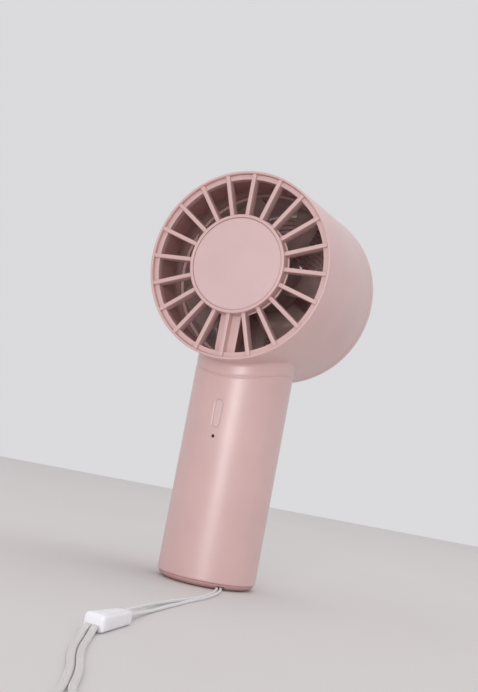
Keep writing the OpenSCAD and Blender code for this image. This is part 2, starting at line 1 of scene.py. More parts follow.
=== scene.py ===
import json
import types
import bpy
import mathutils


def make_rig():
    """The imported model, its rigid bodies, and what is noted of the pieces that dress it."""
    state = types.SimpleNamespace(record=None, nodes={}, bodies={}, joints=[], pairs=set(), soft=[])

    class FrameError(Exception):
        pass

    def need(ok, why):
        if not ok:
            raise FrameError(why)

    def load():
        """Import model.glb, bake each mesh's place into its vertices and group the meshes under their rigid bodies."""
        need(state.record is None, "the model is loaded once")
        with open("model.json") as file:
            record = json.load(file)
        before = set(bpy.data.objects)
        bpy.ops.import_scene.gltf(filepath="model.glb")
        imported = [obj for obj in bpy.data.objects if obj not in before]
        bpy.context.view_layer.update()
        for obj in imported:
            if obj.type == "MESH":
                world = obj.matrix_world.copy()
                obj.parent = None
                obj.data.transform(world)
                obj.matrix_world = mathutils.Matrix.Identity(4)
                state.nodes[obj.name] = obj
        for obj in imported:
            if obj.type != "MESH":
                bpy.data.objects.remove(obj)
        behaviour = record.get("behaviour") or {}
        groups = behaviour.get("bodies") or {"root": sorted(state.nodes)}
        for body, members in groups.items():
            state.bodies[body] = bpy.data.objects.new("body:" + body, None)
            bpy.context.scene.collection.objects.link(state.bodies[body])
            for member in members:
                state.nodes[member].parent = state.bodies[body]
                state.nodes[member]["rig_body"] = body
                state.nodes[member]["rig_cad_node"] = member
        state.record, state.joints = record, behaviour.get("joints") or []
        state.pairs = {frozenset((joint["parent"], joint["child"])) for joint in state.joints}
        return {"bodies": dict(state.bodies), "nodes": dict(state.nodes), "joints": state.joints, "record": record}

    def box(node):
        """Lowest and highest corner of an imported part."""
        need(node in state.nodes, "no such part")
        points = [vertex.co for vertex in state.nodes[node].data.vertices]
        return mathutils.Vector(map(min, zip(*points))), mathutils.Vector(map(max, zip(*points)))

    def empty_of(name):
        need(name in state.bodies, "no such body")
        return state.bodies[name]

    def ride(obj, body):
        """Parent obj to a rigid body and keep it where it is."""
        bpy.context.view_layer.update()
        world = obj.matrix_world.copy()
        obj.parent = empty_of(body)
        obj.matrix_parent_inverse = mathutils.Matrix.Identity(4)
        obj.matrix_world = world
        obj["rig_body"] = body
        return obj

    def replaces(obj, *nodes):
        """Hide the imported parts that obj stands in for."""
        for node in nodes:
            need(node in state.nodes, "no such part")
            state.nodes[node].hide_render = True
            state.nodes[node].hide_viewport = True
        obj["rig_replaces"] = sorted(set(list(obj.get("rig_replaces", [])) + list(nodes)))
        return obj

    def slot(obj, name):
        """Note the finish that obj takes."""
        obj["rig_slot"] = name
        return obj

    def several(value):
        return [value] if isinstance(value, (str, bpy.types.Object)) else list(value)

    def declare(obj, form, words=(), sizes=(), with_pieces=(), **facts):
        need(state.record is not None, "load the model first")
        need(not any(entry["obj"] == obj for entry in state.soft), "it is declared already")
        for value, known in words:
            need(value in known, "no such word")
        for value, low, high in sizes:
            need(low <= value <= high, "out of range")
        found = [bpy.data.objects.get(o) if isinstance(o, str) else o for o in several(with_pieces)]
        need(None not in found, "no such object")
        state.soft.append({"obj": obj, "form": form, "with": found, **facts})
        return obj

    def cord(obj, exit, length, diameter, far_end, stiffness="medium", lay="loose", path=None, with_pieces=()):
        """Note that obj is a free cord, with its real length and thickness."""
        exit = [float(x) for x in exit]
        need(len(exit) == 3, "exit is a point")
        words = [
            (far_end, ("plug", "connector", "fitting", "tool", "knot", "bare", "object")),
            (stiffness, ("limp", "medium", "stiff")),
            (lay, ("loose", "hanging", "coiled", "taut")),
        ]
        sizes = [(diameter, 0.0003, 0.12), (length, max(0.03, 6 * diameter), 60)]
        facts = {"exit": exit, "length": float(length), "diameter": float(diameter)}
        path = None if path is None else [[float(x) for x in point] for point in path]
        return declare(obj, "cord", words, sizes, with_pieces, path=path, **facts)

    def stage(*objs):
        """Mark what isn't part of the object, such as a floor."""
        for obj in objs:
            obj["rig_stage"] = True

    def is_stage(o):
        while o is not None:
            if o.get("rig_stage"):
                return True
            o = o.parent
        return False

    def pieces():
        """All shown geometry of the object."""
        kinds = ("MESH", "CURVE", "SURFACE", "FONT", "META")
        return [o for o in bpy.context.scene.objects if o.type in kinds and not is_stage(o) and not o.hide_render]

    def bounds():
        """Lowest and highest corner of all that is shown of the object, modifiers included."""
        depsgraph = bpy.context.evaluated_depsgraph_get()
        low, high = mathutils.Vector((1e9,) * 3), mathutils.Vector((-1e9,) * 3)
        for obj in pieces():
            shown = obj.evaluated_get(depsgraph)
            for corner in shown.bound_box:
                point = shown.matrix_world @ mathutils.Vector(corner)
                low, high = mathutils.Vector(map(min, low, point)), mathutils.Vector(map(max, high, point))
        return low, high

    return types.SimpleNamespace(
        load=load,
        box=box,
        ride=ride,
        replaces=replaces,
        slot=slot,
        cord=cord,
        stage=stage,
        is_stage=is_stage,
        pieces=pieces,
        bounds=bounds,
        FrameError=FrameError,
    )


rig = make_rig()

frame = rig.load()

import json
import math

import bmesh
import bpy
from mathutils import Matrix, Vector

CAD_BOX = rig.bounds()
MM = 0.001
TAU = 2 * math.pi
NODES = frame["nodes"]
BODY, ROTOR, BUTTON = "fan_body", "rotor", "button"


def lo_hi(node):
    lo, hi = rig.box(node)
    return lo / MM, hi / MM


# Where the CAD parts are, in millimetres
GRILLE_LO, GRILLE_HI = lo_hi("front_grille")
DRUM_LO = lo_hi("drum_housing")[0]
COVER_HI = lo_hi("rear_cover")[1]
CAP_LO, CAP_HI = lo_hi("grille_cap")
HANDLE_HI = lo_hi("handle_shell")[1]
BUTTON_LO, BUTTON_HI = lo_hi("power_button")
GUIDE_LO, GUIDE_HI = lo_hi("light_pipe")
PORT_LO, PORT_HI = lo_hi("charge_port")
WHEEL_LO = lo_hi("impeller")[0]
BEAD_LO, BEAD_HI = lo_hi("lanyard_bead")
AXIS_Z = (GRILLE_LO.z + GRILLE_HI.z) / 2
LIP_Y = DRUM_LO.y
HANDLE_R, HANDLE_WALL = HANDLE_HI.x, 2
HANDLE_BORE = HANDLE_R - HANDLE_WALL

# Drum, as the CAD has it
LIP_R, REAR_R, DRUM_DEPTH = 37.8, 39.4, 59.5
DRUM_SLOPE = (REAR_R - LIP_R) / DRUM_DEPTH
LEDGE_R, LEDGE_Y = 36.8, LIP_Y + 5      # the step that the outlet grille sits against
BORE_R, BORE_REAR_R = 35.8, 37.3        # the shell's inside, at the ledge and at the rear
SEAM_Y, COVER_Y = 27.0, 27.3            # the shell's rear edge, and the rear cover's front edge
OPENING_R = 34.7                        # open part of the outlet grille
DUCT_R, DUCT_Y = 34.9, -2               # the rear cover's duct and its front edge
HUB_R, HUB_BORE, HUB_BACK = 19.8, 18.5, -23.8
SPIGOT_R, SPIGOT_BORE, SPIGOT_LOW = 17.7, 15.7, 76.5    # the drum's neck inside the handle

# The curved joint between drum and handle, r from the drum's axis, and the soft valley along it
SADDLE_R, JOINT_GAP = 43.2, 0.05
JOINT_EDGE, JOINT_DIP = 1.0, 0.22

# The cords leave the base 42 degrees round from the front
CORD_ANGLE = math.radians(42 - 90)
VIEW_AZIMUTH = math.radians(23.1)


# ---------------------------------------------------------------- camera
def make_camera():
    azimuth, elevation, roll = VIEW_AZIMUTH, math.radians(-5.72), math.radians(10.75)
    target, distance = Vector((-4.68, 0, 96.66)) * MM, 0.430
    back = Vector((
        math.sin(azimuth) * math.cos(elevation),
        -math.cos(azimuth) * math.cos(elevation),
        math.sin(elevation),
    ))
    right = (-back).cross(Vector((0, 0, 1))).normalized()
    up = right.cross(-back)
    right_rolled = math.cos(roll) * right + math.sin(roll) * up
    up_rolled = -math.sin(roll) * right + math.cos(roll) * up
    data = bpy.data.cameras.new("camera")
    data.lens = 54.0
    data.sensor_width = 36.0
    data.clip_start, data.clip_end = 0.01, 20
    cam = bpy.data.objects.new("camera", data)
    cam.matrix_world = Matrix.Translation(target + back * distance) @ Matrix(
        (right_rolled, up_rolled, back)).transposed().to_4x4()
    bpy.context.scene.collection.objects.link(cam)
    bpy.context.scene.camera = cam


make_camera()


# ---------------------------------------------------------------- mesh helpers
def finish_mesh(bm, name, mat, sharp=32):
    """Makes an object from bm, in millimetres, smooth apart from edges sharper than that many degrees."""
    bmesh.ops.remove_doubles(bm, verts=bm.verts, dist=1e-4)
    bmesh.ops.dissolve_degenerate(bm, edges=bm.edges, dist=1e-5)
    bmesh.ops.recalc_face_normals(bm, faces=bm.faces)
    limit = math.radians(sharp)
    for f in bm.faces:
        f.smooth = True
    for e in bm.edges:
        if len(e.link_faces) == 2 and e.calc_face_angle(0) > limit:
            e.smooth = False
    bmesh.ops.scale(bm, vec=(MM, MM, MM), verts=bm.verts)
    mesh = bpy.data.meshes.new(name)
    bm.to_mesh(mesh)
    bm.free()
    mesh.materials.append(mat)
    obj = bpy.data.objects.new(name, mesh)
    bpy.context.scene.collection.objects.link(obj)
    return obj


def add_rings(bm, rings, closed=False):
    """Skins rings that all have as many points. closed joins the last ring to the first."""
    rows = [[bm.verts.new(p) for p in ring] for ring in rings]
    n = len(rows[0])
    pairs = list(zip(rows, rows[1:])) + ([(rows[-1], rows[0])] if closed else [])
    for a, b in pairs:
        for i in range(n):
            j = (i + 1) % n
            bm.faces.new((a[i], a[j], b[j], b[i]))
    return rows


def rounded(corners, steps=4):
    """A closed outline from corners (a, b, fillet radius)."""
    out = []
    n = len(corners)
    for i, (a, b, f) in enumerate(corners):
        p = Vector((a, b))
        if f <= 0:
            out.append(p)
            continue
        u = (Vector(corners[i - 1][:2]) - p).normalized()
        v = (Vector(corners[(i + 1) % n][:2]) - p).normalized()
        half = math.acos(max(-1, min(1, u.dot(v)))) / 2
        centre = p + (u + v).normalized() * f / math.sin(half)
        start, end = p + u * f / math.tan(half) - centre, p + v * f / math.tan(half) - centre
        sweep = math.atan2(start.x * end.y - start.y * end.x, start.dot(end))
        for k in range(steps + 1):
            c, s = math.cos(sweep * k / steps), math.sin(sweep * k / steps)
            out.append(centre + Vector((start.x * c - start.y * s, start.x * s + start.y * c)))
    return out


def drum_point(r, y, t):
    return (r * math.cos(t), y, AXIS_Z + r * math.sin(t))


def handle_point(r, z, t):
    return (r * math.cos(t), r * math.sin(t), z)


def add_lathe(bm, corners, place, count=192, steps=4):
    """Turns a closed outline of (radius, height, fillet) corners round an axis."""
    outline = rounded(corners, steps)
    rings = [[place(p.x, p.y, TAU * k / count) for k in range(count)] for p in outline]
    add_rings(bm, rings, closed=True)


def add_disc(bm, corners, place, count=160, steps=4):
    """Turns an outline that starts and ends on the axis: the first and last corners have radius 0."""
    outline = rounded(corners, steps)
    inner = outline[1:-1]
    rows = add_rings(bm, [[place(p.x, p.y, TAU * k / count) for k in range(count)] for p in inner])
    for row, p in ((rows[0], outline[0]), (rows[-1], outline[-1])):
        tip = bm.verts.new(place(0, p.y, 0))
        for k in range(count):
            bm.faces.new((row[k], row[(k + 1) % count], tip))


def add_prism(bm, outline, place_start, place_end):
    """Joins one outline placed at two ends, with both ends closed."""
    a = [bm.verts.new(place_start(p)) for p in outline]
    b = [bm.verts.new(place_end(p)) for p in outline]
    n = len(outline)
    for i in range(n):
        bm.faces.new((a[i], a[(i + 1) % n], b[(i + 1) % n], b[i]))
    bm.faces.new(a)
    bm.faces.new(b[::-1])


def add_spoke(bm, angle, r0, r1, outline, taper=1.0):
    """A bar out from the drum's axis: outline is (across, y)."""
    c, s = math.cos(angle), math.sin(angle)

    def place(r, k):
        return lambda p: (r * c - p.x * k * s, p.y, AXIS_Z + r * s + p.x * k * c)

    add_prism(bm, outline, place(r0, 1.0), place(r1, taper))


def drum_radius(y):
    return LIP_R + DRUM_SLOPE * (y - LIP_Y)


def ride(obj, body, *nodes, slot=None):
    """Ties obj to its body, and names the CAD nodes it replaces and its material slot."""
    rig.ride(obj, body)
    if nodes:
        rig.replaces(obj, *nodes)
    if slot:
        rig.slot(obj, slot)
    return obj


# ---------------------------------------------------------------- materials
def new_material(name):
    mat = bpy.data.materials.new(name)
    mat.use_nodes = True
    tree = mat.node_tree
    return mat, tree, tree.nodes["Principled BSDF"]


def add_node(tree, kind, **inputs):
    node = tree.nodes.new(kind)
    for key, value in inputs.items():
        node.inputs[key.replace("_", " ")].default_value = value
    return node


def coords(tree, kind="Object"):
    return tree.nodes.new("ShaderNodeTexCoord").outputs[kind]


def noise(tree, scale, detail=4.0, rough=0.55, source=None):
    node = add_node(tree, "ShaderNodeTexNoise", Scale=scale, Detail=detail, Roughness=rough)
    tree.links.new(source or coords(tree), node.inputs["Vector"])
    return node.outputs["Fac"]


def ramp(tree, fac, low, high, lo_pos=0.3, hi_pos=0.7):
    node = tree.nodes.new("ShaderNodeValToRGB")
    node.color_ramp.elements[0].position = lo_pos
    node.color_ramp.elements[1].position = hi_pos
    node.color_ramp.elements[0].color = low
    node.color_ramp.elements[1].color = high
    tree.links.new(fac, node.inputs["Fac"])
    return node.outputs["Color"]


def remap(tree, fac, low, high):
    node = add_node(tree, "ShaderNodeMapRange")
    node.inputs["To Min"].default_value = low
    node.inputs["To Max"].default_value = high
    tree.links.new(fac, node.inputs["Value"])
    return node.outputs["Result"]


def bump(tree, shader, height, strength, distance, under=None):
    node = add_node(tree, "ShaderNodeBump", Strength=strength, Distance=distance)
    tree.links.new(height, node.inputs["Height"])
    if under is not None:
        tree.links.new(under, node.inputs["Normal"])
    tree.links.new(node.outputs["Normal"], shader.inputs["Normal"])
    return node.outputs["Normal"]


def lin(r, g, b):
    """An sRGB colour, 0 to 255, as linear RGBA."""
    def one(c):
        c /= 255
        return c / 12.92 if c <= 0.04045 else ((c + 0.055) / 1.055) ** 2.4
    return (one(r), one(g), one(b), 1.0)


def moulded(name, colour, rough=0.42, specular=0.45, spark=0.10, mottle=0.025, coat=0.0,
            coat_rough=0.12, sss=0.0):
    """Moulded plastic: a fine spark-eroded texture, faint mottling, and roughness that varies."""
    mat, tree, shader = new_material(name)
    base = lin(*colour)
    dark = tuple(c * (1 - mottle * 2) for c in base[:3]) + (1,)
    pale = tuple(min(1, c * (1 + mottle)) for c in base[:3]) + (1,)
    tree.links.new(ramp(tree, noise(tree, 55, 3), dark, pale), shader.inputs["Base Color"])
    tree.links.new(remap(tree, noise(tree, 240, 5), rough - 0.05, rough + 0.06), shader.inputs["Roughness"])
    shader.inputs["Specular IOR Level"].default_value = specular
    if coat:
        shader.inputs["Coat Weight"].default_value = coat
        shader.inputs["Coat Roughness"].default_value = coat_rough
    if sss:
        shader.inputs["Subsurface Weight"].default_value = sss
        shader.inputs["Subsurface Radius"].default_value = (0.0012, 0.0007, 0.0006)
        shader.inputs["Subsurface Scale"].default_value = 1.0
    fine = bump(tree, shader, noise(tree, 5200, 2), spark, 0.00004)
    bump(tree, shader, noise(tree, 130, 2), 0.05, 0.0004, fine)
    return mat


def metal(name, colour, rough=0.28, brush=(1, 1, 1), scratch=0.12):
    """Metal with fine lines drawn out along one axis, and faint tarnish."""
    mat, tree, shader = new_material(name)
    base = lin(*colour)
    dark = tuple(c * 0.82 for c in base[:3]) + (1,)
    tree.links.new(ramp(tree, noise(tree, 300, 4), dark, base), shader.inputs["Base Color"])
    shader.inputs["Metallic"].default_value = 1.0
    stretch = add_node(tree, "ShaderNodeMapping", Scale=brush)
    tree.links.new(coords(tree), stretch.inputs["Vector"])
    lines = noise(tree, 2500, 3, 0.6, stretch.outputs["Vector"])
    tree.links.new(remap(tree, lines, rough - 0.08, rough + 0.12), shader.inputs["Roughness"])
    bump(tree, shader, lines, scratch, 0.00002)
    return mat


def laminate(name, colour):
    """Circuit board: solder mask with copper runs showing through as a faint grid."""
    mat, tree, shader = new_material(name)
    base = lin(*colour)
    pale = tuple(min(1, c * 1.9) for c in base[:3]) + (1,)
    cells = add_node(tree, "ShaderNodeTexVoronoi", Scale=900.0)
    cells.distance = "CHEBYCHEV"
    cells.feature = "F2"
    tree.links.new(coords(tree), cells.inputs["Vector"])
    tree.links.new(ramp(tree, cells.outputs["Distance"], base, pale, 0.62, 0.7),
                   shader.inputs["Base Color"])
    shader.inputs["Roughness"].default_value = 0.35
    shader.inputs["Coat Weight"].default_value = 0.4
    bump(tree, shader, cells.outputs["Distance"], 0.25, 0.00003)
    return mat


def winding(name):
    """Enamelled copper wire, wound close."""
    mat, tree, shader = new_material(name)
    wave = add_node(tree, "ShaderNodeTexWave", Scale=1100.0, Distortion=0.6)
    wave.bands_direction = "Y"
    tree.links.new(coords(tree), wave.inputs["Vector"])
    tree.links.new(ramp(tree, wave.outputs["Fac"], lin(92, 44, 20), lin(196, 108, 58), 0.1, 0.9),
                   shader.inputs["Base Color"])
    shader.inputs["Metallic"].default_value = 0.85
    shader.inputs["Roughness"].default_value = 0.3
    shader.inputs["Coat Weight"].default_value = 0.5
    bump(tree, shader, wave.outputs["Fac"], 0.6, 0.00008)
    return mat


def clear_plastic(name):
    """Clear moulded plastic, milky, with faint flow lines; its warm pink tint is painted light from the pink round it.
    """
    mat, tree, shader = new_material(name)
    tree.links.new(ramp(tree, noise(tree, 90, 2), lin(206, 178, 172), lin(224, 202, 197)),
                   shader.inputs["Base Color"])
    tree.links.new(remap(tree, noise(tree, 160, 4), 0.1, 0.22), shader.inputs["Roughness"])
    shader.inputs["Transmission Weight"].default_value = 0.6
    shader.inputs["IOR"].default_value = 1.3
    bump(tree, shader, noise(tree, 160, 3), 0.06, 0.0004)
    return mat


def braid(name, along, across, colour, depth, sheen=0.25):
    """Woven thread on a piece whose UV runs across it and along it in millimetres."""
    mat, tree, shader = new_material(name)
    uv = coords(tree, "UV")
    waves = []
    for slant in (1, -1):
        turn = add_node(tree, "ShaderNodeMapping", Scale=(across, along * slant, 1))
        tree.links.new(uv, turn.inputs["Vector"])
        wave = add_node(tree, "ShaderNodeTexWave", Scale=1.0, Distortion=0.5, Detail=1.0)
        wave.wave_type = "BANDS"
        wave.bands_direction = "DIAGONAL"
        tree.links.new(turn.outputs["Vector"], wave.inputs["Vector"])
        waves.append(wave.outputs["Fac"])
    both = tree.nodes.new("ShaderNodeMath")
    both.operation = "MAXIMUM"
    for k in range(2):
        tree.links.new(waves[k], both.inputs[k])
    base = lin(*colour)
    dark = tuple(c * 0.66 for c in base[:3]) + (1,)
    tree.links.new(ramp(tree, both.outputs["Value"], dark, base, 0.25, 0.85), shader.inputs["Base Color"])
    shader.inputs["Roughness"].default_value = 0.78
    shader.inputs["Sheen Weight"].default_value = sheen
    shader.inputs["Sheen Roughness"].default_value = 0.4
    fibres = bump(tree, shader, noise(tree, 6000, 3), 0.2, 0.00004)
    bump(tree, shader, both.outputs["Value"], 0.8, depth, fibres)
    return mat


def plain_cord(name):
    """The cord's braid as fine cells, for a piece without a UV along it."""
    mat, tree, shader = new_material(name)
    cells = add_node(tree, "ShaderNodeTexVoronoi", Scale=2600.0)
    tree.links.new(coords(tree), cells.inputs["Vector"])
    tree.links.new(ramp(tree, cells.outputs["Distance"], lin(238, 237, 238), lin(170, 168, 168), 0.2, 0.9),
                   shader.inputs["Base Color"])
    shader.inputs["Roughness"].default_value = 0.8
    bump(tree, shader, cells.outputs["Distance"], 0.6, 0.0001)
    return mat


PINK = moulded("pink plastic", (212, 174, 171), rough=0.4, specular=1.0, coat=0.8, coat_rough=0.42)
PINK_PALE = moulded("pale pink plastic", (217, 186, 186), rough=0.46)
# A darker copy of the pink plastic for the base: painted shade, for the shade low under the fan.
PINK_SHADED_BASE = moulded("pink plastic, base, painted shade", (198, 158, 155), rough=0.5)
# A darker copy of the pink plastic for the stator frame: painted shade for the dim inside of the drum.
PINK_SHADED_INNER = moulded("pink plastic, inner, painted shade", (196, 148, 144), rough=0.5)
CLEAR = clear_plastic("clear plastic")
BLACK = moulded("black plastic", (30, 30, 31), rough=0.5, mottle=0.1)
WHITE = moulded("white glossy plastic", (243, 241, 247), rough=0.2, coat=0.5, mottle=0.01, sss=0.15)
STEEL = metal("bright steel", (196, 198, 200), brush=(1, 12, 1))
SCREW = metal("screw steel", (170, 172, 175), rough=0.34)
LAMINATIONS = metal("stator laminations", (120, 122, 126), rough=0.4, brush=(1, 40, 1), scratch=0.5)
NICKEL = metal("nickel", (206, 203, 196), rough=0.3, brush=(1, 1, 10))
MAGNET = moulded("ferrite", (44, 43, 44), rough=0.6, specular=0.3, spark=0.5, mottle=0.15)
BOARD = laminate("circuit board", (22, 92, 58))
COPPER = winding("copper winding")
WRAP = moulded("cell wrap", (70, 128, 168), rough=0.3, mottle=0.03)
INSULATION = moulded("wire insulation", (34, 34, 36), rough=0.45, mottle=0.1)
GUIDE = moulded("light guide", (26, 23, 23), rough=0.3, mottle=0.08)
CORD = braid("braided cord", 1.5, 0.64, (246, 245, 246), 0.00012)
CORD_PLAIN = plain_cord("braided cord, hitch")
WEBBING = braid("woven band", 0.9, 0.9, (230, 226, 223), 0.00016)

# The hidden pieces, and small or half-hidden ones such as light_pipe, charge_port and stator_frame,
# keep the CAD's meshes and get their materials here
for nodes, mat in {
    # The stator frame deep in the drum takes the darker pink, painted shade.
    ("stator_frame",): PINK_SHADED_INNER,
    ("motor_board", "main_board", "charge_board"): BOARD,
    ("stator_core",): LAMINATIONS,
    ("stator_coils",): COPPER,
    ("front_bearing", "rear_bearing", "motor_shaft", "shaft_clip", "impeller_nut", "rotor_bell",
     "lanyard_bar", "power_switch"): STEEL,
    ("rotor_magnets",): MAGNET,
    ("motor_wires", "charge_wires"): INSULATION,
    ("chassis", "board_parts", "switch_plunger", "port_tongue"): BLACK,
    ("battery_cell",): WRAP,
    ("battery_tabs", "charge_port"): NICKEL,
    ("neck_screws", "board_screws", "base_screws"): SCREW,
    ("light_pipe",): GUIDE,
}.items():
    for node in nodes:
        for material_slot in NODES[node].material_slots:
            material_slot.material = mat


# ---------------------------------------------------------------- lanyard
# The routes repeat part.scad's, in millimetres. The band's fourth number is its twist, in degrees.
LEFT = [
    (9.6, -11.8, 0.8), (10.7, -13.5, 0.7), (11.8, -15.8, 0.6), (13.4, -20.4, 0.55), (15.2, -26.6, 0.55),
    (16.6, -34, 0.55), (17.8, -42, 0.55), (18.3, -50, 0.55), (18.1, -58, 0.55), (17.8, -66, 0.55),
    (18, -73.5, 0.6), (18.9, -81, 0.9), (20.5, -90, 1.4), (22.6, -100, 2), (25, -109.5, 2.7),
    (27.1, -118, 3.3), (27.9, -122.5, 3.4), (28, -125.2, 3.4),
]
RIGHT = [
    (10.8, -10.8, 0.8), (12.1, -12.7, 0.7), (13.2, -15.2, 0.6), (14.8, -19.9, 0.55), (16.6, -26.2, 0.55),
    (18, -33.7, 0.55), (19.2, -41.8, 0.55), (19.8, -50, 0.55), (20.2, -58, 0.55), (20.9, -66, 0.55),
    (21.7, -75, 0.55), (22.6, -84, 0.55), (23.5, -92, 0.6), (24.6, -100, 0.9), (26.2, -108.5, 1.4),
    (28.3, -118, 2.1), (29.4, -122.5, 2.3), (29.6, -125.2, 2.3),
]
BAND = [
    (29.5, -141.6, 1.9, 0), (29.6, -145.8, 1.6, 0), (31.2, -150.6, 0.8, 0), (33.6, -156, 0.5, 0),
    (38.6, -167.2, 0.5, 0), (44.2, -177.6, 0.5, 0), (48.8, -185.4, 0.5, 0), (52.8, -193.2, 0.5, 0),
    (56.3, -200.5, 0.5, 0), (59, -206.9, 0.5, 0), (61.6, -213.3, 0.65, 12), (64.4, -219.6, 0.9, 50),
    (68.4, -226.2, 1.05, 90), (74, -230.4, 1.05, 90), (80.2, -229.4, 1.05, 90), (83, -224, 1.05, 90),
    (81, -218.4, 1.05, 90), (76, -215.2, 1.05, 95), (70.6, -213, 1, 120), (66.2, -210.4, 0.85, 150),
    (63, -207.2, 0.65, 172), (60.6, -203.8, 0.5, 180), (58.3, -199.7, 0.5, 180), (54.8, -192.2, 0.5, 180),
    (50.8, -184.5, 0.5, 180), (46.2, -176.7, 0.5, 180), (40.6, -166.2, 0.5, 180), (35.6, -155, 0.5, 180),
    (33.3, -149.6, 0.8, 180), (31.8, -145.4, 1.6, 180), (31.7, -141.6, 1.9, 180),
]
CORD_D, BAND_W, BAND_T = 1.1, 2.0, 0.9


def smooth_route(points, per=4):
    """Catmull-Rom points through the given ones, per steps to each."""
    pts = [Vector((*p, 0)[:4]) for p in points]
    out = []
    for i in range(len(pts) - 1):
        a, b = pts[max(i - 1, 0)], pts[i]
        c, d = pts[i + 1], pts[min(i + 2, len(pts) - 1)]
        for k in range(per):
            t = k / per
            out.append(0.5 * (2 * b + (c - a) * t + (2 * a - 5 * b + 4 * c - d) * t * t
                              + (3 * b - a - 3 * c + d) * t ** 3))
    return out + [pts[-1]]


def tube(name, route, section, mat, per=4):
    """Sweeps the closed section (across, up) along the route. UV is round and along, in millimetres."""
    up, end_size = Vector((0, 0, 1)), 0.6
    pts = smooth_route(route, per)
    centre = [p.to_3d() for p in pts]
    bm = bmesh.new()
    uv = bm.loops.layers.uv.new("UVMap")
    rings, along = [], [0.0]
    for i, p in enumerate(centre):
        d = (centre[min(i + 1, len(pts) - 1)] - centre[max(i - 1, 0)]).normalized()
        side = d.cross(up).normalized()
        rise = side.cross(d)
        turn = math.radians(pts[i].w)
        side, rise = (side * math.cos(turn) + rise * math.sin(turn),
                      -side * math.sin(turn) + rise * math.cos(turn))
        size = end_size if i in (0, len(pts) - 1) else 1.0
        rings.append([bm.verts.new(p + side * a * size + rise * b * size) for a, b in section])
        if i:
            along.append(along[-1] + (p - centre[i - 1]).length)
    n = len(section)
    round_way = [0.0]
    for k in range(n):
        a, b = section[k], section[(k + 1) % n]
        round_way.append(round_way[-1] + math.dist(a, b))
    for i in range(len(rings) - 1):
        for k in range(n):
            j = (k + 1) % n
            face = bm.faces.new((rings[i][k], rings[i][j], rings[i + 1][j], rings[i + 1][k]))
            spots = ((round_way[k], along[i]), (round_way[k + 1], along[i]),
                     (round_way[k + 1], along[i + 1]), (round_way[k], along[i + 1]))
            for loop, spot in zip(face.loops, spots):
                loop[uv].uv = spot
    bm.faces.new(rings[0][::-1])
    bm.faces.new(rings[-1])
    obj = finish_mesh(bm, name, mat, sharp=50)
    return obj, [p * MM for p in centre]


def path_length(path):
    return sum((b - a).length for a, b in zip(path, path[1:]))


def circle_section(d, count=12):
    return [(d / 2 * math.cos(TAU * k / count), d / 2 * math.sin(TAU * k / count)) for k in range(count)]


def tape_section(w, t):
    """A flat woven tape: thick rolled edges and a very slightly hollow middle."""
    half, r, hollow, arc = w / 2, t / 2, 0.86, 6
    inner = (0.5, 0.17, -0.17, -0.5)
    out = []
    for k in range(arc + 1):
        a = -math.pi / 2 + math.pi * k / arc
        out.append((half - r + r * math.cos(a), r * math.sin(a)))
    out += [(half * x, r * hollow) for x in inner]
    for k in range(arc + 1):
        a = math.pi / 2 + math.pi * k / arc
        out.append((-half + r + r * math.cos(a), r * math.sin(a)))
    out += [(half * x, -r * hollow) for x in inner[::-1]]
    return out


for label, route in (("left", LEFT), ("right", RIGHT)):
    strand, path = tube(f"cord_{label}", route, circle_section(CORD_D), CORD)
    ride(strand, BODY, f"lanyard_strand_{label}", slot="cord")
    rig.cord(strand, exit=path[0], length=path_length(path), diameter=CORD_D * MM, far_end="object",
            stiffness="limp", lay="loose", path=path)


def make_bead():
    """A tapered moulded clip: narrow where the cords go in and wide where the band does."""
    bm = bmesh.new()
    length = BEAD_HI.y - BEAD_LO.y
    cord_w, band_w, slant, x0 = 4.4, 6.6, 1.8, 28.8
    mid, half_h = (BEAD_LO.z + BEAD_HI.z) / 2, (BEAD_HI.z - BEAD_LO.z) / 2
    flatter, squareness, count = 0.14, 0.42, 48      # flatter: how much lower the narrow end is
    stations = [
        (0.0, 0.0), (0.0, 0.62), (0.006, 0.84), (0.02, 0.95), (0.045, 1.0), (0.25, 1.0), (0.5, 1.0),
        (0.75, 1.0), (0.955, 1.0), (0.98, 0.95), (0.994, 0.84), (1.0, 0.62), (1.0, 0.0),
    ]
    rings = []
    for t, size in stations:
        w = (cord_w + (band_w - cord_w) * t) / 2 * size
        h = half_h * size * (1 - flatter + flatter * t)
        x, y = x0 + slant * t, BEAD_HI.y - length * t
        z = mid - half_h * (flatter - flatter * t)
        ring = []
        for k in range(count):
            c, s = math.cos(TAU * k / count), math.sin(TAU * k / count)
            ring.append((x + w * math.copysign(abs(c) ** squareness, c), y,
                         z + h * math.copysign(abs(s) ** squareness, s)))
        rings.append(ring)
    add_rings(bm, rings)
    bead = finish_mesh(bm, "lanyard_clip", WHITE, sharp=60)
    return ride(bead, BODY, "lanyard_bead", slot="white_plastic")


bead = make_bead()
band, path = tube("wrist_tape", BAND, tape_section(BAND_W, BAND_T), WEBBING, per=5)
ride(band, BODY, "wrist_band", slot="webbing")
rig.cord(band, exit=path[0], length=path_length(path), diameter=BAND_W * MM, far_end="object",
        stiffness="limp", lay="loose", path=path, with_pieces=[bead])


def make_hitch():
    """The cord's two turns round the steel pin."""
    lo, hi = lo_hi("lanyard_bar")
    mid = (lo + hi) / 2
    out = Vector((math.cos(CORD_ANGLE), math.sin(CORD_ANGLE), 0))
    across, up = Vector((-math.sin(CORD_ANGLE), math.cos(CORD_ANGLE), 0)), Vector((0, 0, 1))
    pin_r, clearance, apart, steps = 0.6, 0.05, 2.0, 24
    r = pin_r + CORD_D / 2 + clearance
    bm = bmesh.new()
    for side in (-1, 1):
        rings = []
        for k in range(steps):
            a = TAU * k / steps - math.pi / 2
            radial = out * math.cos(a) + up * math.sin(a)
            p = mid + across * side * apart + radial * r
            rings.append([p + radial * u + across * v for u, v in circle_section(CORD_D, 14)])
        add_rings(bm, rings, closed=True)
    hitch = finish_mesh(bm, "cord_hitch", CORD_PLAIN, sharp=60)
    return ride(hitch, BODY, "lanyard_hitch", slot="cord")


make_hitch()


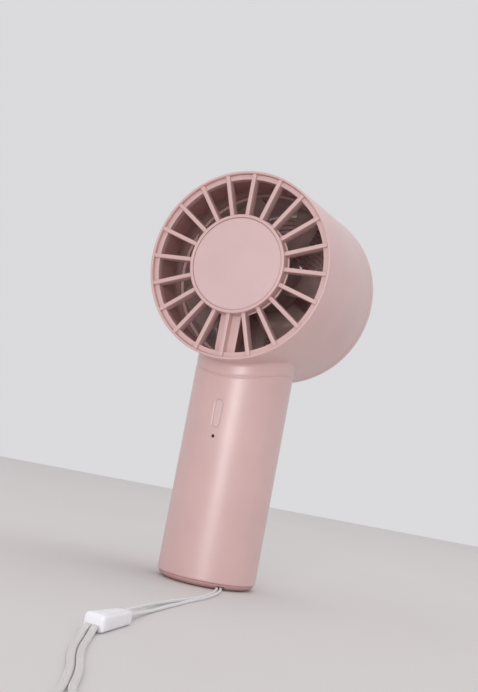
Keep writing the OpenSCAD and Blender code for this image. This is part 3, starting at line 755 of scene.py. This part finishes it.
# ---------------------------------------------------------------- drum
def saddle(x, r):
    """Height of a cylinder's underside, r from the drum's axis, x to the side."""
    return AXIS_Z - math.sqrt(r * r - x * x)


def neck_column(t, fillet):
    """The neck's outline at one angle: from the drum down, round the neck's end and back up."""
    c, s = math.cos(t), math.sin(t)
    x, y = (HANDLE_R + fillet) * c, (HANDLE_R + fillet) * s
    r = drum_radius(y) + fillet
    centre = Vector((x, y, saddle(x, r)))
    to_neck, to_drum = Vector((-c, -s, 0)), Vector((-x, 0, AXIS_Z - centre.z)) / r
    whole = math.acos(to_neck.dot(to_drum))
    column = []
    for i in range(11):
        u = 1.05 - 1.05 * i / 10
        p = (to_neck * math.sin((1 - u) * whole) + to_drum * math.sin(u * whole)) / math.sin(whole)
        column.append(centre + p * fillet)
    top, low = column[-1].z, saddle(HANDLE_R * c, SADDLE_R) + JOINT_EDGE
    for i in range(1, 5):
        column.append(handle_point(HANDLE_R, top + (low - top) * i / 4, t))
    for i in range(1, 8):
        q = HANDLE_R - JOINT_DIP * math.sin(math.pi / 2 * i / 7) ** 2
        column.append(handle_point(q, saddle(q * c, SADDLE_R) + JOINT_EDGE * (1 - i / 7), t))
    column.append(handle_point(SPIGOT_R, saddle(SPIGOT_R * c, SADDLE_R), t))
    column.append(handle_point(SPIGOT_R, SPIGOT_LOW, t))
    column.append(handle_point(SPIGOT_BORE, SPIGOT_LOW, t))
    column.append(handle_point(SPIGOT_BORE, saddle(SPIGOT_BORE * c, drum_radius(SPIGOT_BORE * s) - 1), t))
    column.append(centre + to_drum * (fillet + 1.0))
    return column


def make_drum():
    bm = bmesh.new()
    add_lathe(bm, [
        (LEDGE_R, LIP_Y, 0.3), (LIP_R, LIP_Y, 0.42), (drum_radius(SEAM_Y), SEAM_Y, 0.14),
        (BORE_REAR_R, SEAM_Y, 0.1), (BORE_R, LEDGE_Y, 0.05), (LEDGE_R, LEDGE_Y, 0.05),
    ], drum_point, count=256)
    fillet, count = 1.5, 192
    add_rings(bm, [neck_column(TAU * k / count, fillet) for k in range(count)], closed=True)
    return ride(finish_mesh(bm, "drum_shell", PINK, sharp=35), BODY, "drum_housing", slot="pink_plastic")


def make_grille():
    bm = bmesh.new()
    hub_front = GRILLE_LO.y
    bar_front, bar_back = LIP_Y + 0.2, LIP_Y + 4.6
    bar_half, bar_half_front, bar_in, bars = 0.9, 0.82, 18.9, 20
    plate_half, plate_back = 4.3, -24.5
    ring_r, ring_front, ring_back = 36.7, -26.6, -23.1
    bar = rounded([(-bar_half, bar_back, 0.2), (bar_half, bar_back, 0.2),
                   (bar_half_front, bar_front, 0.28), (-bar_half_front, bar_front, 0.28)], 4)
    plate = rounded([(-plate_half, bar_back, 0.1), (plate_half, bar_back, 0.1),
                     (plate_half, plate_back, 0.25), (-plate_half, plate_back, 0.25)], 4)
    add_lathe(bm, [(OPENING_R, ring_front, 0.25), (ring_r, ring_front, 0.1),
                   (ring_r, ring_back, 0.1), (OPENING_R, ring_back, 0.25)], drum_point, count=256)
    add_spoke(bm, -math.pi / 2, bar_in, 36.6, plate)
    for k in range(bars):
        add_spoke(bm, -math.pi / 2 + TAU * k / bars, bar_in, 36.72, bar)
    # The step round the hub's rear edge, the hub's wall, and its floor with a hole for the disc's stem
    step_in, step_out, step_front = 19.3, 20.3, -24.4
    floor_r, floor_front, floor_back, stem_hole = 18.8, -27.6, -26.4, 4
    add_lathe(bm, [(step_in, step_front, 0.1), (step_out, step_front, 0.15),
                   (step_out, HUB_BACK, 0.15), (step_in, HUB_BACK, 0.1)], drum_point, count=224)
    add_lathe(bm, [(HUB_BORE, hub_front, 0.3), (HUB_R, hub_front, 0.45), (HUB_R, HUB_BACK, 0.3),
                   (HUB_BORE, HUB_BACK, 0.3)], drum_point, count=224)
    add_lathe(bm, [(stem_hole, floor_front, 0.1), (floor_r, floor_front, 0), (floor_r, floor_back, 0),
                   (stem_hole, floor_back, 0.1)], drum_point, count=160)
    return ride(finish_mesh(bm, "outlet_grille", PINK, sharp=35), BODY, "front_grille", slot="pink_plastic")


def make_hub_disc():
    """The disc in the hub, very slightly dished at its middle and edge, on its stem."""
    bm = bmesh.new()
    face, back, r, stem_r = CAP_LO.y, CAP_LO.y + 1.3, 18.42, 3.8
    add_disc(bm, [
        (0, face + 0.05, 0), (17.3, face, 0), (r, face + 0.05, 0.35), (r, back, 0.1),
        (stem_r, back, 0), (stem_r, CAP_HI.y, 0.2), (0, CAP_HI.y, 0),
    ], drum_point, count=224)
    return ride(finish_mesh(bm, "hub_disc", PINK_PALE, sharp=35), BODY, "grille_cap", slot="pale_plastic")


def make_intake():
    """The rear cover: a duct inside the drum, an edge ring, and leaning slats on ribs."""
    bm = bmesh.new()
    rear = COVER_HI.y
    add_lathe(bm, [
        (DUCT_R, DUCT_Y, 0.2), (DUCT_R + 1.35, DUCT_Y, 0.2), (36.9, COVER_Y, 0),
        (drum_radius(COVER_Y), COVER_Y, 0.14), (drum_radius(rear) - 0.02, rear, 1.1), (DUCT_R, rear, 0.5),
    ], drum_point, count=256, steps=6)
    slats, first_r, apart, width, lean = 10, 13.6, 2, 1.4, 1.6
    slat_front, slat_back = 27.2, 31.2
    for k in range(slats):
        r = first_r + apart * k
        add_lathe(bm, [
            (r + lean, slat_front, 0.12), (r + lean + width, slat_front, 0.12),
            (r + width, slat_back, 0.3), (r, slat_back, 0.3),
        ], drum_point, count=144)
    ribs, rib_half, rib_in, rib_back = 12, 0.7, 12.7, 31.1
    rib = rounded([(-rib_half, COVER_Y, 0.25), (rib_half, COVER_Y, 0.25),
                   (rib_half, rib_back, 0.5), (-rib_half, rib_back, 0.5)], 3)
    for k in range(ribs):
        add_spoke(bm, TAU * k / ribs, rib_in, DUCT_R + 0.3, rib)
    # The middle ring, and the floor that carries the cap, with a hole for the cap's stem
    ring_in, ring_out = 11.95, 13.2
    floor_r, floor_front, floor_back, stem_hole = 12.4, 29.3, 30, 3
    add_lathe(bm, [(ring_in, COVER_Y, 0.1), (ring_out, slat_front, 0.2), (ring_out, rear, 0.45),
                   (ring_in, rear, 0.3)], drum_point, count=128)
    add_lathe(bm, [(stem_hole, floor_front, 0.1), (floor_r, floor_front, 0), (floor_r, floor_back, 0),
                   (stem_hole, floor_back, 0.1)], drum_point, count=96)
    return ride(finish_mesh(bm, "intake_grille", PINK, sharp=35), BODY, "rear_cover", slot="pink_plastic")


def make_intake_cap():
    bm = bmesh.new()
    lo, hi = lo_hi("rear_cap")
    r, stem_r, back = 11.8, 2.9, 30.1
    add_disc(bm, [
        (0, lo.y, 0), (stem_r, lo.y, 0.2), (stem_r, back, 0), (r, back, 0.1), (r, hi.y, 0.5), (0, hi.y, 0),
    ], drum_point, count=128)
    return ride(finish_mesh(bm, "intake_disc", PINK_PALE, sharp=35), BODY, "rear_cap", slot="pale_plastic")


def make_wheel():
    bm = bmesh.new()
    hub_r, floor_y, sleeve_r, bore_r = 16.2, -1.4, 3.4, 1.03
    add_lathe(bm, [
        (14.7, WHEEL_LO.y, 0.2), (hub_r, WHEEL_LO.y, 0.5), (hub_r, 3, 0.6), (14.8, 3, 0.4),
        (14.8, 0.6, 0.4),
        (sleeve_r, 0.6, 0.1), (sleeve_r, 1.2, 0.2), (bore_r, 1.2, 0.1), (bore_r, floor_y, 0.1),
        (14.7, floor_y, 0.2),
    ], drum_point, count=128)
    blades, stations, chordwise = 7, 13, 15
    root_r, tip_r, mid_y = 15.7, 33.6, -1.4
    for b in range(blades):
        rings = []
        for i in range(stations):
            u = i / (stations - 1)
            r = root_r + (tip_r - root_r) * u
            pitch = math.radians(50 - 15 * u)
            chord = 17.5 + 4.5 * math.sin(math.pi * (0.25 + 0.5 * u))
            lead = TAU * b / blades + math.radians(10) * u * u
            thick = 1.15 - 0.45 * u
            front, back = [], []
            for j in range(chordwise):
                s = -math.cos(math.pi * j / (chordwise - 1)) / 2
                camber = 3.8 * (0.25 - s * s)
                half = thick / 2 * max(0.16, math.sqrt(max(0.0, 1 - (2 * s) ** 2)) ** 0.7)
                for side, keep in ((1, front), (-1, back)):
                    n = camber + side * half
                    across = s * chord * math.cos(pitch) - n * math.sin(pitch)
                    y = mid_y + s * chord * math.sin(pitch) + n * math.cos(pitch)
                    keep.append(drum_point(r, y, lead + across / r))
            rings.append(front + back[::-1])
        rows = add_rings(bm, rings)
        bm.faces.new(rows[0])
        bm.faces.new(rows[-1][::-1])
    return ride(finish_mesh(bm, "fan_wheel", CLEAR, sharp=45), ROTOR, "impeller", slot="clear_plastic")


# ---------------------------------------------------------------- handle
COLUMNS = 240
COLUMN_STEP = TAU / COLUMNS
TUBE_LOW, TUBE_CHAMFER = 2.9, 0.4       # where the tube's straight wall starts, above a rounded lower edge
PILL_HALF = 4.0                         # half the straight part of the button and of its slot

# Heights of the tube's rows. They are close together at the socket, the indicator hole and the button.
ROWS = [3.4, 6, 9, 12, 15, 17.35, 18.5, 19.7, 20.85, 22, 23.2, 24.35, 28, 32, 36, 40, 44, 48, 52, 55,
        56.5, 57.25, 58, 58.75, 59.5, 60] + [60 + k for k in range(1, 15)] + [76, 78, 80]


def front_point(r, across, z, phi):
    """A point r from the handle's axis, across sideways from the direction phi, which is 0 at the front."""
    ahead = math.sqrt(max(r * r - across * across, 0))
    x = ahead * math.sin(phi) + across * math.cos(phi)
    y = across * math.sin(phi) - ahead * math.cos(phi)
    return Vector((x, y, z))


def pill_outline(a, b, half, r):
    """The point of a pill, upright if half is positive and level if negative, that faces (a, b)."""
    if half >= 0:
        c = (0.0, max(-half, min(half, b)))
    else:
        c = (max(half, min(-half, a)), 0.0)
    d = Vector((a - c[0], b - c[1])).normalized()
    return c[0] + d.x * r, c[1] + d.y * r


def join_chain(bm, chain):
    """Skins rows of vertices that are already made, each closed on itself."""
    n = len(chain[0])
    for a, b in zip(chain, chain[1:]):
        for j in range(n):
            k = (j + 1) % n
            bm.faces.new((a[j], a[k], b[k], b[j]))


def crown(r):
    """Heights of the tube's curved top edge round radius r."""
    return [saddle(r * math.sin(j * COLUMN_STEP), SADDLE_R + JOINT_GAP) for j in range(COLUMNS)]


def handle_ring(bm, r, heights):
    return [bm.verts.new(front_point(r, 0, heights[j], j * COLUMN_STEP)) for j in range(COLUMNS)]


def handle_wall(bm, r, z_low, taken, flip):
    """One face of the tube's wall, as a grid with the holes' rectangles left open."""
    levels = [z_low] + ROWS
    grid = [handle_ring(bm, r, [z] * COLUMNS) for z in levels]
    for i in range(len(levels) - 1):
        for j in range(COLUMNS):
            if (i - 1, j) in taken:
                continue
            k = (j + 1) % COLUMNS
            quad = (grid[i][j], grid[i][k], grid[i + 1][k], grid[i + 1][j])
            bm.faces.new(quad[::-1] if flip else quad)
    return grid


def hole_rim(hole):
    """The rectangle left open for a hole: its (row, column) places in order round it."""
    low, high = (ROWS.index(z) for z in hole["z"])
    cols = hole["cols"]
    return ([(low, j) for j in range(-cols, cols)] + [(i, cols) for i in range(low, high)]
            + [(high, j) for j in range(cols, -cols, -1)] + [(i, -cols) for i in range(high, low, -1)])


def cut_hole(bm, hole, outer, inner):
    """Fills the rectangle from the wall's outside in to a pill, and goes through the wall with it."""
    centre, mid = hole["centre"], hole["mid"]
    rim = hole_rim(hole)
    spots = [(HANDLE_R * math.sin(j * COLUMN_STEP), ROWS[i] - centre) for i, j in rim]

    def outline(r, grow, blend):
        made = []
        for a, b in spots:
            p, q = pill_outline(a, b, hole["half"], hole["r"] + grow)
            p, q = a + (p - a) * blend, b + (q - b) * blend
            made.append(bm.verts.new(front_point(r, p, centre + q, mid * COLUMN_STEP)))
        return made

    edge = hole["edge"]
    chain = [[outer[i + 1][(mid + j) % COLUMNS] for i, j in rim]]
    for blend in (0.4, 0.75):
        chain.append(outline(HANDLE_R, edge, blend))
    for k in range(7):
        dip = hole["dip"] * math.sin(math.pi / 2 * k / 6) ** 2
        chain.append(outline(HANDLE_R - dip, edge * (1 - k / 6), 1.0))
    chain.append(outline(HANDLE_R - 1.0, 0, 1.0))
    chain.append(outline(HANDLE_BORE, 0, 1.0))
    chain.append([inner[i + 1][(mid + j) % COLUMNS] for i, j in rim])
    join_chain(bm, chain)


def make_handle():
    # mid is a hole's middle column and cols its columns to each side. half and r give its pill.
    # edge and dip are the width and depth of the soft valley round it.
    button = dict(mid=0, cols=8, z=(60, 74), centre=(BUTTON_LO.z + BUTTON_HI.z) / 2,
                  half=PILL_HALF, r=1.5, edge=0.5, dip=0.2)
    indicator = dict(mid=0, cols=2, z=(56.5, 59.5), centre=(GUIDE_LO.z + GUIDE_HI.z) / 2,
                     half=0, r=0.65, edge=0.12, dip=0.1)
    socket = dict(mid=COLUMNS // 2, cols=13, z=(17.35, 24.35), centre=(PORT_LO.z + PORT_HI.z) / 2,
                  half=-2.87, r=1.9, edge=0.3, dip=0.2)
    holes = (button, indicator, socket)
    taken = set()
    for hole in holes:
        low, high = (ROWS.index(z) for z in hole["z"])
        for i in range(low, high):
            for j in range(-hole["cols"], hole["cols"]):
                taken.add((i, (hole["mid"] + j) % COLUMNS))
    bm = bmesh.new()
    outer = handle_wall(bm, HANDLE_R, TUBE_LOW, taken, False)
    inner = handle_wall(bm, HANDLE_BORE, TUBE_LOW - TUBE_CHAMFER, taken, True)

    halfway = [(81 + t - JOINT_EDGE) / 2 for t in crown(HANDLE_R)]
    top = [outer[-1], handle_ring(bm, HANDLE_R, halfway)]
    for k in range(8):
        r = HANDLE_R - JOINT_DIP * math.sin(math.pi / 2 * k / 7) ** 2
        top.append(handle_ring(bm, r, [h - JOINT_EDGE * (1 - k / 7) for h in crown(r)]))
    top.append(handle_ring(bm, HANDLE_BORE, crown(HANDLE_BORE)))
    top.append(inner[-1])
    join_chain(bm, top)

    low = [outer[0]]
    for k in range(1, 6):
        u = math.pi / 2 * k / 5
        r, z = HANDLE_R - TUBE_CHAMFER * (1 - math.cos(u)), TUBE_LOW - TUBE_CHAMFER * math.sin(u)
        low.append(handle_ring(bm, r, [z] * COLUMNS))
    low.append(inner[0])
    join_chain(bm, low)

    for hole in holes:
        cut_hole(bm, hole, outer, inner)
    return ride(finish_mesh(bm, "handle_tube", PINK, sharp=35), BODY, "handle_shell", slot="pink_plastic")


def make_button():
    """A pill set flush in its slot, its face following the handle and its edge rolled over."""
    bm = bmesh.new()
    centre = (BUTTON_LO.z + BUTTON_HI.z) / 2
    r, body_r, flange_r, stem_r = 1.44, 1.35, 2.15, 1.4
    face, flange_front, flange_back = HANDLE_R - 0.05, -17.4, -16.8
    around, count = [], 64
    for k in range(count):
        c, s = math.cos(TAU * k / count), math.sin(TAU * k / count)
        if abs(s) < 1e-9:
            shifts = [c * PILL_HALF * f for f in (-0.6, 0, 0.6)]
        else:
            shifts = [math.copysign(PILL_HALF, s)]
        around += [(c, s, shift) for shift in shifts]
    rings = []

    def ring(size, depth=0.0, flat_y=None):
        """One pill of that radius: depth below the face, or flat at flat_y."""
        made = []
        for c, s, shift in around:
            x = c * size
            y = depth - math.sqrt(face * face - x * x) if flat_y is None else flat_y
            made.append((x, y, centre + s * size + shift))
        rings.append(made)

    for size in (0.0, 0.4, 0.7, 0.9):
        ring(size)
    for k in range(7):
        ring(r - 0.45 * (1 - k / 6), 0.2 * math.sin(math.pi / 2 * k / 6) ** 2)
    ring(r, 0.5)
    ring(body_r, 0.55)
    ring(body_r, flat_y=flange_front)
    ring(flange_r, flat_y=flange_front)
    ring(flange_r, flat_y=flange_back)
    ring(stem_r, flat_y=flange_back)
    ring(0.0, flat_y=flange_back)
    add_rings(bm, rings)
    cap = finish_mesh(bm, "button_cap", PINK_PALE, sharp=40)
    return ride(cap, BUTTON, "power_button", slot="pale_plastic")


def boolean(obj, cutters, operation="DIFFERENCE"):
    """Cuts the cutters from obj, or joins them to it, and removes them."""
    for cutter in cutters:
        mod = obj.modifiers.new("cut", "BOOLEAN")
        mod.operation, mod.solver, mod.object = operation, "EXACT", cutter
    bpy.context.view_layer.update()
    depsgraph = bpy.context.evaluated_depsgraph_get()
    mesh = bpy.data.meshes.new_from_object(obj.evaluated_get(depsgraph))
    obj.modifiers.clear()
    obj.data = mesh
    for cutter in cutters:
        bpy.data.objects.remove(cutter)
    bm = bmesh.new()
    bm.from_mesh(mesh)
    bmesh.ops.remove_doubles(bm, verts=bm.verts, dist=1e-7)
    limit = math.radians(30)
    for f in bm.faces:
        f.smooth = True
    for e in bm.edges:
        e.smooth = not (len(e.link_faces) == 2 and e.calc_face_angle(0) > limit)
    bm.to_mesh(mesh)
    bm.free()


def base_box(x, y, z, fillet):
    """An upright box from (low, high) pairs, turned so that x runs out to where the cords leave."""
    bm = bmesh.new()
    corners = ((x[0], y[0]), (x[1], y[0]), (x[1], y[1]), (x[0], y[1]))
    outline = rounded([(a, b, fillet) for a, b in corners], 4)
    turn = Matrix.Rotation(CORD_ANGLE, 3, "Z")
    add_prism(bm, outline, lambda p: turn @ Vector((p.x, p.y, z[0])),
              lambda p: turn @ Vector((p.x, p.y, z[1])))
    return finish_mesh(bm, "cutter", PINK_SHADED_BASE)


def base_bore(x, y, r, top):
    """An upright cylinder from under the base up to top."""
    bm = bmesh.new()
    below = -1

    def place(q, z, t):
        return (x + q * math.cos(t), y + q * math.sin(t), z)

    add_disc(bm, [(0, below, 0), (r, below, 0), (r, top, 0), (0, top, 0)], place, count=48)
    return finish_mesh(bm, "cutter", PINK_SHADED_BASE)


def make_base():
    """The plug in the handle's lower end: its notch for the cords, the pin's lug and two screw holes."""
    bm = bmesh.new()
    foot_r, edge_w, edge_h = 15, 4.5, 2.4
    plug_r, plug_bore, plug_top, floor_top = 17.8, 16.2, 8, 3.4
    edge = []
    for degrees in range(0, 91, 9):
        a = math.radians(degrees)
        edge.append((foot_r + edge_w * math.sin(a), edge_h * (1 - math.cos(a)), 0))
    add_disc(bm, [(0, 0, 0), (8, 0, 0)] + edge + [
        (plug_r, edge_h, 0), (plug_r, plug_top, 0.3), (plug_bore, plug_top, 0.3),
        (plug_bore, floor_top, 0.3), (0, floor_top, 0),
    ], handle_point, count=192)
    # The base plug takes the darker pink, painted shade.
    base = finish_mesh(bm, "base_plug", PINK_SHADED_BASE, sharp=35)
    lug = base_box((11, 16.5), (-5.2, 5.2), (2, 6), 0.4)
    boolean(base, [lug], "UNION")
    pin_pocket = base_box((13.2, 17.2), (-2.8, 2.8), (-1, 4.4), 0.5)
    cord_slot = base_box((14, 22), (-1.8, 1.8), (-1, 1.5), 0.5)
    cutters = [pin_pocket, cord_slot]
    head, shank = (2.1, 1.6), (1.1, 5)
    for side in (-1, 1):
        for r, top in (head, shank):
            cutters.append(base_bore(side * 12.5, 4, r, top))
    boolean(base, cutters)
    return ride(base, BODY, "base_cap", slot="pink_plastic")


make_drum()
make_grille()
make_hub_disc()
make_intake()
make_intake_cap()
make_wheel()
make_handle()
make_button()
make_base()


# ---------------------------------------------------------------- floor, light
def make_stage():
    """A plain floor turned to the camera. Its far edge lies where the photo's floor meets the wall."""
    mesh = bpy.data.meshes.new("floor")
    half, far = 1.3, 0.735
    turn = Matrix.Rotation(VIEW_AZIMUTH, 4, "Z")
    corners = ((-half, -half, 0), (half, -half, 0), (half, far, 0), (-half, far, 0))
    mesh.from_pydata([tuple(turn @ Vector(p)) for p in corners], [], [(0, 1, 2, 3)])
    mat, tree, shader = new_material("floor")
    tree.links.new(ramp(tree, noise(tree, 6, 3), lin(214, 210, 209), lin(217, 213, 212)),
                   shader.inputs["Base Color"])
    shader.inputs["Roughness"].default_value = 0.7
    shader.inputs["Specular IOR Level"].default_value = 0.2
    bump(tree, shader, noise(tree, 400, 3), 0.05, 0.0005)
    mesh.materials.append(mat)
    floor = bpy.data.objects.new("floor", mesh)
    bpy.context.scene.collection.objects.link(floor)
    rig.stage(floor)


def area_light(name, position, aim, size, power, spread=180):
    data = bpy.data.lights.new(name, "AREA")
    data.shape = "RECTANGLE"
    data.size, data.size_y = size
    data.energy = power
    data.spread = math.radians(spread)
    obj = bpy.data.objects.new(name, data)
    obj.location = position
    obj.rotation_euler = (Vector(aim) - Vector(position)).to_track_quat("-Z", "Y").to_euler()
    bpy.context.scene.collection.objects.link(obj)


def make_light():
    """A bright even backdrop, a soft light behind the camera and a weak one overhead."""
    world = bpy.data.worlds.new("world")
    bpy.context.scene.world = world
    world.use_nodes = True
    background = world.node_tree.nodes["Background"]
    background.inputs["Color"].default_value = lin(219, 218, 220)
    background.inputs["Strength"].default_value = 1.0
    aim = (0, 0, 0.09)
    area_light("key", (0.19, -0.83, 0.16), aim, (0.24, 0.34), 0.36, spread=70)
    area_light("top", (0.2, 0.2, 1.0), aim, (0.7, 0.7), 2.2)
    bpy.context.scene.view_settings.view_transform = "Standard"


make_stage()
make_light()

with open("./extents.json", "w") as f:
    json.dump({"cad": [list(v) for v in CAD_BOX], "visual": [list(v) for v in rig.bounds()]}, f)
